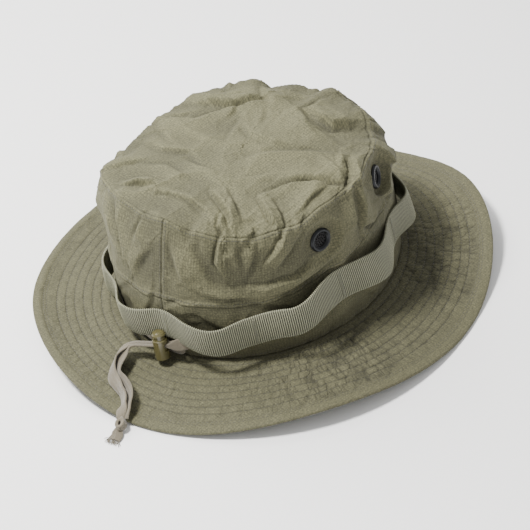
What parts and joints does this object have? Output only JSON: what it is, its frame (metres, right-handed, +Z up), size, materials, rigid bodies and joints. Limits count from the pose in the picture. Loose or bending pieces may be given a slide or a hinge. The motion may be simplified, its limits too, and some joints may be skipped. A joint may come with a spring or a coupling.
{
  "type": "boonie hat",
  "caption": "Soft cloth boonie hat with a slumped oval crown, wide stitched brim, looped foliage webbing, screened side vents and a chin tape with a spring cord lock.",
  "frame": {"origin": "on the surface the hat stands on, under the middle of the brim", "axes": "+Z up, +Y along the long axis of the oval towards the forehead, +X across it to the wearer's right when seen from behind"},
  "size_m": [0.2806, 0.3372, 0.1096],
  "materials": {
    "cloth": "matt ripstop weave",
    "interlining": "stiff canvas",
    "sweatband_tape": "matt twill",
    "webbing": "ribbed webbing",
    "thread": "twisted thread",
    "chin_tape": "flat braid",
    "eyelet": "gunmetal",
    "screen": "dark pierced sheet",
    "lock_plastic": "glossy olive",
    "spring_steel": "bright wire"
  },
  "bodies": {
    "hat": {"crown_band_right": "cloth", "crown_band_left": "cloth", "crown_side_right": "cloth", "crown_side_left": "cloth", "crown_top": "cloth", "sweatband": "sweatband_tape", "brim_lower_ply": "cloth", "brim_interlining": "interlining", "brim_upper_ply": "cloth", "foliage_webbing": "webbing", "foliage_bartacks": "thread", "vent_right_rear_eyelet": "eyelet", "vent_right_rear_screen": "screen", "vent_right_rear_washer": "eyelet", "vent_right_front_eyelet": "eyelet", "vent_right_front_screen": "screen", "vent_right_front_washer": "eyelet", "vent_left_rear_eyelet": "eyelet", "vent_left_rear_screen": "screen", "vent_left_rear_washer": "eyelet", "vent_left_front_eyelet": "eyelet", "vent_left_front_screen": "screen", "vent_left_front_washer": "eyelet", "chin_tape_loop": "chin_tape", "chin_tape_tail_outer": "chin_tape", "chin_tape_tail_inner": "chin_tape", "chin_tape_knot": "chin_tape"},
    "cord_lock": {"cord_lock_barrel": "lock_plastic", "cord_lock_spring": "spring_steel"},
    "lock_plunger": {"cord_lock_plunger": "lock_plastic"}
  },
  "joints": [
    {"name": "cord_lock_slide", "type": "slide", "parent": "hat", "child": "cord_lock", "axis": [-0.8772, -0.4491, -0.17], "range_m": [0, 0.01]},
    {"name": "plunger_press", "type": "slide", "parent": "cord_lock", "child": "lock_plunger", "axis": [0.206, -0.032, -0.978], "range_m": [0, 0.0025], "stiffness_N_per_m": 1200, "springref_m": -0.001, "deforming": ["cord_lock_spring"]}
  ]
}
